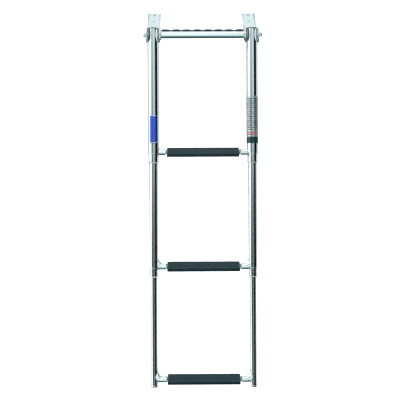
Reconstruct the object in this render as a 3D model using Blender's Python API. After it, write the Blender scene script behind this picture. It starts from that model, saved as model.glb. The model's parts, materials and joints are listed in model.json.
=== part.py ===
"""Three-step telescoping boarding ladder with two deck brackets.

Frame: +X runs across the ladder, +Y inboard over the deck, +Z up. The origin lies on the deck, midway
between the brackets, straight below the hinge axis. The ladder hangs outboard of the deck's edge, leaning
on its stop. Its own pieces are built in the ladder's frame, whose origin is on the hinge axis and whose -Z
runs down the side tubes, and an empty on the hinge axis leans that frame.
"""

import math

import bmesh
import bpy
from mathutils import Matrix, Vector

MM = 0.001
GAP = 0.3  # between neighbouring pieces, mm

# Driving dimensions, mm and degrees
TUBE_SPACING = 272.0  # between the side tubes' centre lines
LEAN = 28.0  # the ladder against its stop, from vertical
TREAD_TILT = LEAN  # a tread's front edge dips this far from square to the side tubes, so it stands level

UPPER_R, UPPER_WALL = 16.0, 1.2
MIDDLE_R, MIDDLE_WALL = 12.5, 1.0
LOWER_R, LOWER_WALL = 9.3, 1.0

FIRST_STEP = 324.0  # from the hinge axis to the first rung's centre line
SECOND_PITCH, THIRD_PITCH = 314.0, 309.0
TUBE_TOP = 15.0  # the upper tubes' reach above the hinge axis
CAP_DOME = 4.0  # the caps' domes clear the brackets' webs as the ladder swings
TUBE_PAST_RUNG = 4.0  # a side tube ends this far below its rung's centre line

COLLAR_BELOW, COLLAR_INSIDE = 24.0, 13.0
STOP_LENGTH = 28.0
TUBE_ABOVE_STOP = 5.0
LINER_LIP = 1.8

RUNG_ROUND_R = 9.0
RUNG_FLAT_DEPTH, RUNG_FLAT_HEIGHT = 25.0, 6.5
RUNG_WALL = 1.5
TREAD_LENGTH, TREAD_DEPTH, TREAD_HEIGHT = 200.0, 40.0, 13.0
TREAD_NOSE, TREAD_HEEL = 3.0, 2.0  # radii of the long top and bottom edges
SLOT_SPARE = 0.6  # a tread's slot stands this far off the rung above and below
RIB_COUNT, RIB_HEIGHT = 9, 1.2

SCREW_R, SCREW_HEAD_R = 2.0, 3.8
SCREW_PLACES = {"left": -60.0, "right": 60.0}
FOOT_DROP = 18.0  # the lower tubes end this far below the last rung's centre line

PLATE = 2.5  # bracket sheet
CHANNEL_INSIDE = 34.0
AXIS_HEIGHT = 25.5  # hinge axis above the deck
EAR_R = 23.0
BRACKET_REACH = 240.0  # from the hinge axis to the bracket's inboard end
FLANGE_HEIGHT = 10.5
BOLT_HOLE_R = 3.5
BOLT_HOLES = (169.0, 227.0)  # inboard of the hinge axis
BEND_R = 2.0  # inside the sheet's bends
END_CORNER = 6.0  # radius of the flanges' inboard top corners
SLOPE_END, SLOPE_START, SLOPE_RISE = 95.0, 60.0, 3.0  # the flanges' slope from the ears down
FORK_TOP = 8.0  # height to which the mouth between the ears is cut through the web

ROD_R = 4.0
WASHER = 1.6
NUT_R, NUT_HEX, NUT_DOME = 7.5, 4.5, 3.5
SOCKET_DEPTH = 5.5  # of a domed nut
BUSH_R = 6.5
GRAB_R, GRAB_WALL = 11.0, 1.5
GRAB_FLANGE_R, GRAB_FLANGE = 16.5, 2.2
GRIP_NOTCHES, GRIP_PITCH, GRIP_NOTCH_DEPTH, GRIP_NOTCH_WIDTH = 7, 29.0, 2.6, 9.0
GRIP_THICK = 3.6
GRIP_START, GRIP_SWEEP = 75.0, 105.0  # round the tube, from outboard over the top
GRIP_END = 0.8  # chamfer at the grip's ends

SIDES = {"left": -1, "right": 1}
ROUND = 24  # sides of a round piece
RUNG_POINTS = 16  # points round a rung

HALF = TUBE_SPACING / 2
RUNG_DROPS = {
    "upper": FIRST_STEP,
    "middle": FIRST_STEP + SECOND_PITCH,
    "lower": FIRST_STEP + SECOND_PITCH + THIRD_PITCH,
}

COLOURS = {
    "steel": ((0.80, 0.83, 0.84), 0.15, 1.0),
    "black_plastic": ((0.022, 0.026, 0.028), 0.55, 0.0),
    "nylon": ((0.78, 0.78, 0.74), 0.5, 0.0),
    "label_blue": ((0.10, 0.22, 0.55), 0.4, 0.0),
    "label_grey": ((0.30, 0.36, 0.37), 0.4, 0.0),
}


# ---------------------------------------------------------------- meshes


def material(node, kind):
    colour, roughness, metallic = COLOURS[kind]
    made = bpy.data.materials.new(node)
    made.use_nodes = True
    shader = made.node_tree.nodes["Principled BSDF"]
    shader.inputs["Base Color"].default_value = (*colour, 1.0)
    shader.inputs["Roughness"].default_value = roughness
    shader.inputs["Metallic"].default_value = metallic
    return made


def finish(node, bm, kind, parent=None, smooth_angle=35.0):
    """One named object from a bmesh drawn in millimetres in its parent's frame."""
    bmesh.ops.recalc_face_normals(bm, faces=bm.faces)
    bmesh.ops.scale(bm, vec=(MM, MM, MM), verts=bm.verts)
    mesh = bpy.data.meshes.new(node)
    bm.to_mesh(mesh)
    bm.free()
    mesh.shade_smooth()
    mesh.set_sharp_from_angle(angle=math.radians(smooth_angle))
    mesh.materials.append(material(node, kind))
    made = bpy.data.objects.new(node, mesh)
    bpy.context.scene.collection.objects.link(made)
    made.parent = parent
    return made


def turned(bm, profile, matrix=None, sides=ROUND, closed=True):
    """Turns (radius, height) points about Z. An open profile starts and ends on the axis."""
    rings = []
    for radius, height in profile:
        if radius == 0:
            rings.append([bm.verts.new((0, 0, height))])
            continue
        turns = [2 * math.pi * (k + 0.5) / sides for k in range(sides)]
        rings.append([bm.verts.new((radius * math.cos(t), radius * math.sin(t), height)) for t in turns])
    pairs = list(zip(rings, rings[1:]))
    if closed:
        pairs.append((rings[-1], rings[0]))
    for first, second in pairs:
        for k in range(sides):
            n = (k + 1) % sides
            corners = [first[k % len(first)], first[n % len(first)]]
            corners += [second[n % len(second)], second[k % len(second)]]
            bm.faces.new(list(dict.fromkeys(corners)))
    if matrix is not None:
        bmesh.ops.transform(bm, matrix=matrix, verts=[v for ring in rings for v in ring])
    return bm


def pipe(outer, inner, bottom, top):
    """A plain pipe's profile."""
    return [(outer, bottom), (outer, top), (inner, top), (inner, bottom)]


def prism(bm, outline, low, high, matrix=None):
    """An outline of (y, z) points, extruded along X from low to high."""
    ends = [[bm.verts.new((x, y, z)) for y, z in outline] for x in (low, high)]
    bm.faces.new(ends[0])
    bm.faces.new(list(reversed(ends[1])))
    for k in range(len(outline)):
        n = (k + 1) % len(outline)
        bm.faces.new((ends[0][k], ends[0][n], ends[1][n], ends[1][k]))
    if matrix is not None:
        bmesh.ops.transform(bm, matrix=matrix, verts=ends[0] + ends[1])
    return bm


def loft(bm, sections):
    """Skins rings of equally many points and closes both ends."""
    rings = [[bm.verts.new(point) for point in section] for section in sections]
    for first, second in zip(rings, rings[1:]):
        for k in range(len(first)):
            n = (k + 1) % len(first)
            bm.faces.new((first[k], first[n], second[n], second[k]))
    bm.faces.new(rings[0])
    bm.faces.new(list(reversed(rings[-1])))
    return bm


def arc(centre, radius, start, end, steps):
    """Points (y, z) along an arc, angles in degrees from +Y towards +Z."""
    angles = [math.radians(start + (end - start) * k / steps) for k in range(steps + 1)]
    return [(centre[0] + radius * math.cos(a), centre[1] + radius * math.sin(a)) for a in angles]


def cut(target, *cutters, operation="DIFFERENCE"):
    """Applies Boolean cuts. Each cutter is a bmesh drawn in millimetres in the target's frame."""
    for drawn in cutters:
        tool = finish(target.name + "_cutter", drawn, "steel", target.parent)
        tool.hide_render = True
        tool.display_type = "WIRE"
        step = target.modifiers.new("cut", "BOOLEAN")
        step.operation = operation
        step.solver = "EXACT"
        step.object = tool
        bpy.context.view_layer.update()
        graph = bpy.context.evaluated_depsgraph_get()
        result = bpy.data.meshes.new_from_object(target.evaluated_get(graph))
        target.modifiers.clear()
        target.data = result
        bpy.data.objects.remove(tool)
    while len(target.data.materials) > 1:
        target.data.materials.pop()
    target.data.shade_smooth()
    target.data.set_sharp_from_angle(angle=math.radians(35.0))
    return target


def along_x(x=0.0, y=0.0, z=0.0):
    """Lays a turned piece's axis along X through a point."""
    return Matrix.Translation((x, y, z)) @ Matrix.Rotation(math.pi / 2, 4, "Y")


def at(x=0.0, y=0.0, z=0.0):
    return Matrix.Translation((x, y, z))


# ---------------------------------------------------------------- deck mount


def u_section(top):
    """The channel's cross-section (x, z), open at the top, with bends at its lower corners."""
    outside = CHANNEL_INSIDE / 2 + PLATE
    inside = CHANNEL_INSIDE / 2
    outer = arc((outside - BEND_R - PLATE, BEND_R + PLATE), BEND_R + PLATE, -90, 0, 4)
    inner = arc((inside - BEND_R, BEND_R + PLATE), BEND_R, 0, -90, 4)
    half = outer + [(outside, top), (inside, top)] + inner
    return half + [(-x, z) for x, z in reversed(half)]


def bracket_side():
    """The bracket seen along X: ear at the hinge axis, then a slope down to the low flange."""
    axis = (0.0, AXIS_HEIGHT)
    ear = arc(axis, EAR_R, 60, 270, 14)
    end = arc((BRACKET_REACH - END_CORNER, FLANGE_HEIGHT - END_CORNER), END_CORNER, 0, 90, 4)
    under = [(FORK_TOP, -1.0), (BRACKET_REACH, -1.0)]
    slope = [(SLOPE_END, FLANGE_HEIGHT), (SLOPE_START, FLANGE_HEIGHT + SLOPE_RISE)]
    return ear + under + end + slope


def web_front():
    """Where the web starts, so that the leaning tube rests against its upper edge."""
    drop = AXIS_HEIGHT - PLATE
    lean = math.radians(LEAN)
    return (UPPER_R - drop * math.sin(lean)) / math.cos(lean) + GAP


def build_bracket(side):
    x = SIDES[side] * HALF
    bm = bmesh.new()
    ends = [-EAR_R - 1.0, BRACKET_REACH]
    loft(bm, [[(x + px, y, pz) for px, pz in u_section(AXIS_HEIGHT + EAR_R + 1.0)] for y in ends])
    bracket = finish(f"bracket_{side}", bm, "steel")
    wide = CHANNEL_INSIDE + 4 * PLATE
    cut(bracket, prism(bmesh.new(), bracket_side(), x - wide / 2, x + wide / 2), operation="INTERSECT")
    low, high = -2 * PLATE, FORK_TOP
    mouth = [(-EAR_R - 5, low), (web_front(), low), (web_front(), high), (-EAR_R - 5, high)]
    fork = prism(bmesh.new(), mouth, x - CHANNEL_INSIDE / 2, x + CHANNEL_INSIDE / 2)
    pin_hole = turned(
        bmesh.new(),
        [(0, -wide), (ROD_R + GAP, -wide), (ROD_R + GAP, wide), (0, wide)],
        along_x(x, 0, AXIS_HEIGHT),
        sides=24,
        closed=False,
    )
    cut(bracket, fork, pin_hole)
    for y in BOLT_HOLES:
        hole = [(0, -5), (BOLT_HOLE_R, -5), (BOLT_HOLE_R, 10), (0, 10)]
        cut(bracket, turned(bmesh.new(), hole, at(x, y), sides=20, closed=False))
    return bracket


def outer_face():
    """The outside of the outer ears, as a distance from the middle."""
    return HALF + CHANNEL_INSIDE / 2 + PLATE


def inner_face():
    """The side of the inner ears that faces the grab tube."""
    return HALF - CHANNEL_INSIDE / 2 - PLATE


def build_hinge_hardware():
    base = outer_face() + WASHER + 2 * GAP
    reach = base + SOCKET_DEPTH - 2 * GAP
    rod = [(0, -reach), (ROD_R, -reach), (ROD_R, reach), (0, reach)]
    finish("hinge_rod", turned(bmesh.new(), rod, along_x(0, 0, AXIS_HEIGHT), 24, False), "steel")
    for side, sign in SIDES.items():
        face = outer_face() + GAP
        washer = turned(bmesh.new(), pipe(9.0, ROD_R + GAP, face, face + WASHER), sign_x(sign), 24)
        finish(f"hinge_washer_{side}", washer, "steel")
        dome = [(NUT_R * math.cos(a), base + NUT_HEX + NUT_DOME * math.sin(a)) for a in quarter(5)]
        end = base + SOCKET_DEPTH
        socket = [(0, end), (ROD_R + GAP, end), (ROD_R + GAP, base), (NUT_R, base)]
        profile = socket + dome[:-1] + [(0, base + NUT_HEX + NUT_DOME)]
        finish(f"hinge_nut_{side}", turned(bmesh.new(), profile, sign_x(sign), 24, False), "steel")


def sign_x(sign):
    """Lays a turned piece along the hinge axis, its height running outwards on one side."""
    turn = Matrix.Rotation(sign * math.pi / 2, 4, "Y")
    return Matrix.Translation((0, 0, AXIS_HEIGHT)) @ turn


def quarter(steps):
    return [math.pi / 2 * k / steps for k in range(steps + 1)]


def grab_half():
    """Half the grab tube's length."""
    return inner_face() - GRAB_FLANGE - 2 * GAP


def build_grab_tube():
    half = grab_half()
    tube = pipe(GRAB_R, GRAB_R - GRAB_WALL, -half, half)
    finish("grab_tube", turned(bmesh.new(), tube, along_x(0, 0, AXIS_HEIGHT)), "steel")
    for side, sign in SIDES.items():
        face = inner_face() - GAP
        plug = GRAB_R - GRAB_WALL - GAP
        hole = ROD_R + GAP
        profile = [
            (GRAB_FLANGE_R, face),
            (hole, face),
            (hole, half - 8.0),
            (plug, half - 8.0),
            (plug, face - GRAB_FLANGE),
            (GRAB_FLANGE_R, face - GRAB_FLANGE),
        ]
        finish(f"grab_flange_{side}", turned(bmesh.new(), profile, sign_x(sign)), "steel")


def build_grip():
    """A saddle-shaped strip on the grab tube's upper side, notched across at an even pitch."""
    bm = bmesh.new()
    half = grab_half() - 1.0
    inner = GRAB_R + GAP
    crest = inner + GRIP_THICK
    stations = [(-half, crest - GRIP_END), (-half + GRIP_END, crest)]
    for k in range(GRIP_NOTCHES):
        middle = (k - (GRIP_NOTCHES - 1) / 2) * GRIP_PITCH
        for offset, depth in ((-1.0, 0.0), (-0.12, 1.0), (0.12, 1.0), (1.0, 0.0)):
            stations.append((middle + offset * GRIP_NOTCH_WIDTH / 2, crest - depth * GRIP_NOTCH_DEPTH))
    stations += [(half - GRIP_END, crest), (half, crest - GRIP_END)]
    sections = []
    for x, outer in stations:
        sweep = [math.radians(GRIP_START + GRIP_SWEEP * k / 7) for k in range(8)]
        points = [(x, inner * math.cos(a), AXIS_HEIGHT + inner * math.sin(a)) for a in reversed(sweep)]
        for k, a in enumerate(sweep):
            edge = 0.45 if k in (0, 7) else 1.0
            radius = inner + (outer - inner) * edge
            points.append((x, radius * math.cos(a), AXIS_HEIGHT + radius * math.sin(a)))
        sections.append([(px, -py, pz) for px, py, pz in points])
    finish("grab_grip", loft(bm, sections), "black_plastic")


# ---------------------------------------------------------------- ladder sections


def build_side_tube(node, side, radius, wall, top, bottom, parent, holes=()):
    bm = turned(bmesh.new(), pipe(radius, radius - wall, bottom, top), at(SIDES[side] * HALF))
    tube = finish(node, bm, "steel", parent)
    for cutter in holes:
        cut(tube, cutter)
    return tube


def build_pivot(side, parent):
    """The upper tube's dark top plug, and the bush that carries the tube on the rod."""
    x = SIDES[side] * HALF
    plug = UPPER_R - UPPER_WALL - GAP
    low = TUBE_TOP - 4.0
    profile = [
        (0, low),
        (plug, low),
        (plug, TUBE_TOP + GAP),
        (UPPER_R, TUBE_TOP + GAP),
        (UPPER_R, TUBE_TOP + 1.2),
        (UPPER_R * 0.93, TUBE_TOP + 2.0),
        (UPPER_R * 0.78, TUBE_TOP + 3.0),
        (UPPER_R * 0.5, TUBE_TOP + 3.7),
        (0, TUBE_TOP + CAP_DOME),
    ]
    cap = turned(bmesh.new(), profile, at(x), closed=False)
    finish(f"upper_cap_{side}", cap, "black_plastic", parent)
    half = CHANNEL_INSIDE / 2 - GAP
    bush = pipe(BUSH_R, ROD_R + GAP, -half, half)
    finish(f"pivot_bush_{side}", turned(bmesh.new(), bush, along_x(x), 24), "nylon", parent)


def rung_section(x, lift, half_depth, half_height, squareness, tilt):
    """One ring of a rung, in the ladder's frame, as a rounded oblong."""
    points = []
    for k in range(RUNG_POINTS):
        a = 2 * math.pi * (k + 0.5) / RUNG_POINTS
        c, s = math.cos(a), math.sin(a)
        y = half_depth * math.copysign(abs(c) ** (2 / squareness), c)
        z = half_height * math.copysign(abs(s) ** (2 / squareness), s)
        across = y * math.cos(tilt) - z * math.sin(tilt)
        points.append((x, across, lift + y * math.sin(tilt) + z * math.cos(tilt)))
    return points


def rung_skin(drop, flare, thinner, reach):
    """The rung's outer skin, or its bore when thinner is the wall."""
    tilt = math.radians(TREAD_TILT)
    flat_y = RUNG_FLAT_DEPTH / 2 - thinner
    flat_z = RUNG_FLAT_HEIGHT / 2 - thinner
    round_r = RUNG_ROUND_R - thinner
    stations = [
        (reach, flare * 0.5, round_r + 1.0, round_r + flare * 0.5, 2.0, 0.0),
        (HALF - MIDDLE_R - 7.0, flare * 0.13, round_r + 0.4, round_r + flare * 0.13, 2.0, 0.0),
        (HALF - MIDDLE_R - 13.0, 0.0, round_r, round_r, 2.0, 0.0),
        (TREAD_LENGTH / 2 + 5.0, 0.0, round_r + 0.3, round_r - 0.2, 2.0, 0.0),
        (TREAD_LENGTH / 2 + 0.8, 0.0, flat_y - 0.3, flat_z + 0.2, 2.6, tilt),
        (TREAD_LENGTH / 2 - 6.0, 0.0, flat_y, flat_z, 3.0, tilt),
    ]
    right = [rung_section(x, lift - drop, y, z, power, t) for x, lift, y, z, power, t in stations]
    left = [rung_section(-x, lift - drop, y, z, power, t) for x, lift, y, z, power, t in reversed(stations)]
    return loft(bmesh.new(), right + left)


def build_rung(name, side_r, flare, parent):
    drop = RUNG_DROPS[name]
    rung = finish(f"{name}_rung", rung_skin(drop, flare, 0.0, HALF), "steel", parent)
    tools = [rung_skin(drop, flare, RUNG_WALL, HALF + 1.0)]
    for sign in SIDES.values():
        saddle = [(0, -60), (side_r + GAP, -60), (side_r + GAP, 60), (0, 60)]
        tools.append(turned(bmesh.new(), saddle, at(sign * HALF, 0, -drop), closed=False))
    tilt = Matrix.Rotation(math.radians(TREAD_TILT), 4, "X")
    for x in SCREW_PLACES.values():
        hole = [(0, -12), (SCREW_R + GAP, -12), (SCREW_R + GAP, 0), (0, 0)]
        tools.append(turned(bmesh.new(), hole, at(0, 0, -drop) @ tilt @ at(x), 12, False))
    cut(rung, *tools)
    return rung


def tread_outline():
    """The tread's cross-section (y, z): flat ribs on top, a rounded nose and a chamfered underside."""
    half, top = TREAD_DEPTH / 2, TREAD_HEIGHT / 2
    nose, heel = TREAD_NOSE, TREAD_HEEL
    valley = top - RIB_HEIGHT
    outline = arc((-half + nose, valley - nose), nose, 180, 90, 3)
    pitch = (TREAD_DEPTH - 2 * nose) / RIB_COUNT
    for k in range(RIB_COUNT):
        start = -half + nose + k * pitch
        outline += [
            (start + 0.18 * pitch, valley),
            (start + 0.3 * pitch, top),
            (start + 0.7 * pitch, top),
            (start + 0.82 * pitch, valley),
        ]
    outline += arc((half - nose, valley - nose), nose, 90, 0, 3)
    outline += arc((half - heel, -top + heel), heel, 0, -90, 2)
    outline += arc((-half + heel, -top + heel), heel, -90, -180, 2)
    return outline


def build_tread(name, parent):
    """The plastic tread is a sleeve round the flattened part of the rung, screwed from below."""
    place = at(0, 0, -RUNG_DROPS[name]) @ Matrix.Rotation(math.radians(TREAD_TILT), 4, "X")
    half = TREAD_LENGTH / 2
    bm = prism(bmesh.new(), tread_outline(), -half, half, place)
    tread = finish(f"{name}_tread", bm, "black_plastic", parent, 25.0)
    slot_y, slot_z = RUNG_FLAT_DEPTH / 2 + SLOT_SPARE, RUNG_FLAT_HEIGHT / 2 + SLOT_SPARE
    slot_r = slot_z * 0.5
    slot = []
    for y, z, start in ((1, 1, 90), (1, -1, 0), (-1, -1, -90), (-1, 1, -180)):
        slot += arc((y * (slot_y - slot_r), z * (slot_z - slot_r)), slot_r, start, start - 90, 3)
    cut(tread, prism(bmesh.new(), slot, -half - 5, half + 5, place))
    under = -TREAD_HEIGHT / 2
    for side, x in SCREW_PLACES.items():
        hole = [(0, under - 5), (SCREW_R + GAP, under - 5), (SCREW_R + GAP, 0), (0, 0)]
        cut(tread, turned(bmesh.new(), hole, place @ at(x), 12, False))
        head = under - GAP
        profile = [
            (0, head - 2.0),
            (SCREW_HEAD_R * 0.7, head - 1.8),
            (SCREW_HEAD_R, head - 0.8),
            (SCREW_HEAD_R, head),
            (SCREW_R, head),
            (SCREW_R, -2.0),
            (0, -2.0),
        ]
        screw = turned(bmesh.new(), profile, place @ at(x), 16, False)
        finish(f"{name}_tread_screw_{side}", screw, "steel", parent)


def build_collar(name, side, tube_r, wall, inner_r, parent):
    """The collar plugs into the tube's end, and its nylon liner guides the next tube."""
    x = SIDES[side] * HALF
    end = -RUNG_DROPS[name] - TUBE_PAST_RUNG
    outer = tube_r - wall - GAP
    liner_in = inner_r + GAP
    liner_out = liner_in + 0.6
    bore = liner_out + GAP
    low, high = end - COLLAR_BELOW, end + COLLAR_INSIDE
    ring = [
        (outer - 1.0 if outer - 1.0 > bore else bore + 0.2, low),
        (outer, low + 1.0),
        (outer, high),
        (bore, high),
        (bore, low),
    ]
    finish(f"{name}_collar_{side}", turned(bmesh.new(), ring, at(x)), "steel", parent)
    lip = low - GAP
    liner = [
        (outer - 0.3, lip - LINER_LIP),
        (outer - 0.3, lip),
        (liner_out, lip),
        (liner_out, high),
        (liner_in, high),
        (liner_in, lip - LINER_LIP),
    ]
    finish(f"{name}_liner_{side}", turned(bmesh.new(), liner, at(x)), "nylon", parent)


def stop_low(name):
    """The lower face of the stop sleeve that runs inside the named section's tubes."""
    return -RUNG_DROPS[name] - TUBE_PAST_RUNG + COLLAR_INSIDE + GAP


def build_stop(name, above, side, radius, above_r, above_wall, parent):
    low = stop_low(above)
    sleeve = pipe(above_r - above_wall - GAP, radius + GAP, low, low + STOP_LENGTH)
    finish(f"{name}_stop_{side}", turned(bmesh.new(), sleeve, at(SIDES[side] * HALF)), "nylon", parent)


def build_label(side, top, bottom, start, end, kind, parent):
    """A thin sleeve round the upper tube, over part of its turn."""
    x = SIDES[side] * HALF
    inner, outer = UPPER_R + GAP, UPPER_R + GAP + 0.25
    steps = round((end - start) / (360 / ROUND))
    turns = [math.radians(start + (end - start) * k / steps) for k in range(steps + 1)]
    bm = bmesh.new()
    if end - start == 360:
        turned(bm, pipe(outer, inner, -bottom, -top), at(x))
    else:
        ring = [(outer * math.cos(t), outer * math.sin(t)) for t in turns]
        ring += [(inner * math.cos(t), inner * math.sin(t)) for t in reversed(turns)]
        loft(bm, [[(x + px, py, z) for px, py in ring] for z in (-bottom, -top)])
    finish(f"label_{side}", bm, kind, parent)


def build_foot(side, parent):
    """A foot plug: a round disc under the tube and a spigot inside it."""
    end = -RUNG_DROPS["lower"] - FOOT_DROP
    plug = LOWER_R - LOWER_WALL - GAP
    profile = [
        (0, end - 5.5),
        (7.0, end - 5.2),
        (9.8, end - 3.8),
        (10.5, end - 2.4),
        (10.5, end - GAP),
        (plug, end - GAP),
        (plug, end + 12.0),
        (0, end + 12.0),
    ]
    foot = turned(bmesh.new(), profile, at(SIDES[side] * HALF), closed=False)
    finish(f"foot_{side}", foot, "steel", parent)


def empty(name, parent=None, place=(0.0, 0.0, 0.0), lean=0.0):
    made = bpy.data.objects.new(name, None)
    bpy.context.scene.collection.objects.link(made)
    made.parent = parent
    made.location = Vector(place) * MM
    made.rotation_euler = (-math.radians(lean), 0, 0)
    return made


def build_upper(parent):
    for side in SIDES:
        x = SIDES[side] * HALF
        hole = [(0, -30), (BUSH_R + GAP, -30), (BUSH_R + GAP, 30), (0, 30)]
        pivot = turned(bmesh.new(), hole, along_x(x), 24, False)
        end = -RUNG_DROPS["upper"] - TUBE_PAST_RUNG
        build_side_tube(f"upper_tube_{side}", side, UPPER_R, UPPER_WALL, TUBE_TOP, end, parent, [pivot])
        build_pivot(side, parent)
        build_collar("upper", side, UPPER_R, UPPER_WALL, MIDDLE_R, parent)
    build_label("left", 222.0, 301.0, -126.0, -58.0, "label_blue", parent)
    build_label("right", 171.0, 301.0, 0.0, 360.0, "label_grey", parent)
    build_rung("upper", UPPER_R, 5.0, parent)
    build_tread("upper", parent)


def build_middle(parent):
    for side in SIDES:
        top = stop_low("upper") + STOP_LENGTH + TUBE_ABOVE_STOP
        end = -RUNG_DROPS["middle"] - TUBE_PAST_RUNG
        build_side_tube(f"middle_tube_{side}", side, MIDDLE_R, MIDDLE_WALL, top, end, parent)
        build_stop("middle", "upper", side, MIDDLE_R, UPPER_R, UPPER_WALL, parent)
        build_collar("middle", side, MIDDLE_R, MIDDLE_WALL, LOWER_R, parent)
    build_rung("middle", MIDDLE_R, 28.0, parent)
    build_tread("middle", parent)


def build_lower(parent):
    for side in SIDES:
        top = stop_low("middle") + STOP_LENGTH + TUBE_ABOVE_STOP
        end = -RUNG_DROPS["lower"] - FOOT_DROP
        build_side_tube(f"lower_tube_{side}", side, LOWER_R, LOWER_WALL, top, end, parent)
        build_stop("lower", "middle", side, LOWER_R, MIDDLE_R, MIDDLE_WALL, parent)
        build_foot(side, parent)
    build_rung("lower", LOWER_R, 28.0, parent)
    build_tread("lower", parent)


def main():
    for old in list(bpy.data.objects):
        bpy.data.objects.remove(old)
    for side in SIDES:
        build_bracket(side)
    build_hinge_hardware()
    build_grab_tube()
    build_grip()
    hinge = empty("ladder_hinge", place=(0, 0, AXIS_HEIGHT), lean=LEAN)
    build_upper(hinge)
    middle = empty("middle_slide", hinge)
    build_middle(middle)
    build_lower(empty("lower_slide", middle))


main()
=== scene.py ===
"""Looks of a three-step telescoping boarding ladder.

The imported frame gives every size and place. Shapes on the ladder itself are drawn in the ladder's frame,
whose origin is on the hinge axis, whose Z runs up the side tubes and whose Y points inboard.
"""

import json
import math

import bmesh
import bpy
from mathutils import Matrix, Vector


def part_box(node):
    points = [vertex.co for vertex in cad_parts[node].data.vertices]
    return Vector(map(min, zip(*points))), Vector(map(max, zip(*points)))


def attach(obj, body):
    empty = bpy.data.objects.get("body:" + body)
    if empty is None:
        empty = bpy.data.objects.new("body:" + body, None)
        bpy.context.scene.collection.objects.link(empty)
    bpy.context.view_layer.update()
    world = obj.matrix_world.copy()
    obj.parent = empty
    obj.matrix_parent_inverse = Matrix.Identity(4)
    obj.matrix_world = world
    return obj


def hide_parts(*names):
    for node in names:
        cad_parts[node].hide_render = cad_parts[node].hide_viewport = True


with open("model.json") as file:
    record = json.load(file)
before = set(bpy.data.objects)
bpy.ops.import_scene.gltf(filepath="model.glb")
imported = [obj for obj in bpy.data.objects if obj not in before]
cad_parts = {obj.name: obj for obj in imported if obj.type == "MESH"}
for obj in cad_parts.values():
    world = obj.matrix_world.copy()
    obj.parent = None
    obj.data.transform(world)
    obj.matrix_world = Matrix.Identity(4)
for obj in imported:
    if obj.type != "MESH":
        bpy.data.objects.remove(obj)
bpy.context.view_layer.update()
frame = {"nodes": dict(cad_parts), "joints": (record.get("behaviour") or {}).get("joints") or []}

bl_info = {
    "name": "Boarding Ladder Looks",
    "version": (1, 0, 0),
    "blender": (4, 5, 0),
    "location": "3D View > Sidebar > Ladder",
    "description": "Builds the finished surfaces of a telescoping boarding ladder round its packed frame",
    "category": "Object",
}

MM = 0.001
SIDES = {"left": -1, "right": 1}
SECTIONS = ("upper", "middle", "lower")
GAP = 0.3 * MM  # between neighbouring pieces


# ------------------------------------------------------------------ places from the frame


def joint(name):
    return next(j for j in frame["joints"] if j["name"] == name)


def ladder_frame():
    """The ladder's frame at rest: X across, Y inboard, Z up the side tubes, origin on the hinge axis."""
    up = Vector(joint("middle_slide")["axis"]).normalized()
    across = Vector((1, 0, 0))
    inboard = up.cross(across)
    turn = Matrix((across, inboard, up)).transposed().to_4x4()
    return Matrix.Translation(joint("ladder_hinge")["pos_m"]) @ turn


LADDER = ladder_frame()
HINGE = Vector(joint("ladder_hinge")["pos_m"])


def spread(node, into=None):
    """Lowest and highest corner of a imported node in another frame."""
    into = LADDER.inverted() if into is None else into
    points = [into @ v.co for v in frame["nodes"][node].data.vertices]
    low = Vector([min(p[k] for p in points) for k in range(3)])
    high = Vector([max(p[k] for p in points) for k in range(3)])
    return low, high


def round_facts(node, x=None):
    """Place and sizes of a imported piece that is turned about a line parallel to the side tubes."""
    low, high = spread(node)
    x = (low.x + high.x) / 2 if x is None else x
    into = LADDER.inverted()
    radii = [math.hypot(p.x - x, p.y) for p in (into @ v.co for v in frame["nodes"][node].data.vertices)]
    return {"x": x, "outer": max(radii), "inner": min(radii), "low": low.z, "high": high.z}


def cross_facts(node):
    """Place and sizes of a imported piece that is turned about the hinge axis."""
    low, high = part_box(node)
    radii = [math.hypot(v.co.y - HINGE.y, v.co.z - HINGE.z) for v in frame["nodes"][node].data.vertices]
    return {"low": low.x, "high": high.x, "outer": max(radii), "inner": min(radii)}


def end_facts(node):
    """A piece at one end of the hinge axis: its sizes, and its near and far faces from the middle."""
    facts = cross_facts(node)
    near, far = sorted((abs(facts["low"]), abs(facts["high"])))
    return {**facts, "near": near, "far": far}


def tread_frame(section, dip):
    """A tread's frame: origin at the rung's centre, Z out of the ribbed face."""
    tilt = Matrix.Rotation(dip, 4, "X")
    low, high = spread(f"{section}_tread", (LADDER @ tilt).inverted())
    centre = tilt @ ((low + high) / 2)
    return LADDER @ Matrix.Translation(centre) @ tilt, (high - low)


# ------------------------------------------------------------------ node trees as expressions


class Value:
    """A socket in a node tree. Python's operators on it add Math nodes."""

    def __init__(self, graph, socket):
        self.graph = graph
        self.socket = socket

    def math(self, operation, *others):
        sockets = dict(enumerate((self, *others)))
        return self.graph.node("ShaderNodeMath", {"operation": operation}, sockets)

    def __add__(self, other):
        return self.math("ADD", other)

    def __sub__(self, other):
        return self.math("SUBTRACT", other)

    def __mul__(self, other):
        return self.math("MULTIPLY", other)

    def __truediv__(self, other):
        return self.math("DIVIDE", other)

    def __pow__(self, other):
        return self.math("POWER", other)

    def __rsub__(self, other):
        return self.graph.node("ShaderNodeMath", {"operation": "SUBTRACT"}, {0: other, 1: self})

    def __lt__(self, other):
        return self.math("LESS_THAN", other)

    def __gt__(self, other):
        return self.math("GREATER_THAN", other)

    def __abs__(self):
        return self.math("ABSOLUTE")

    __radd__ = __add__
    __rmul__ = __mul__

    def wrap(self, low, high):
        return self.math("WRAP", high, low)

    def within(self, low, high):
        """1 between two values and 0 elsewhere."""
        return (self > low) * (self < high)


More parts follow.
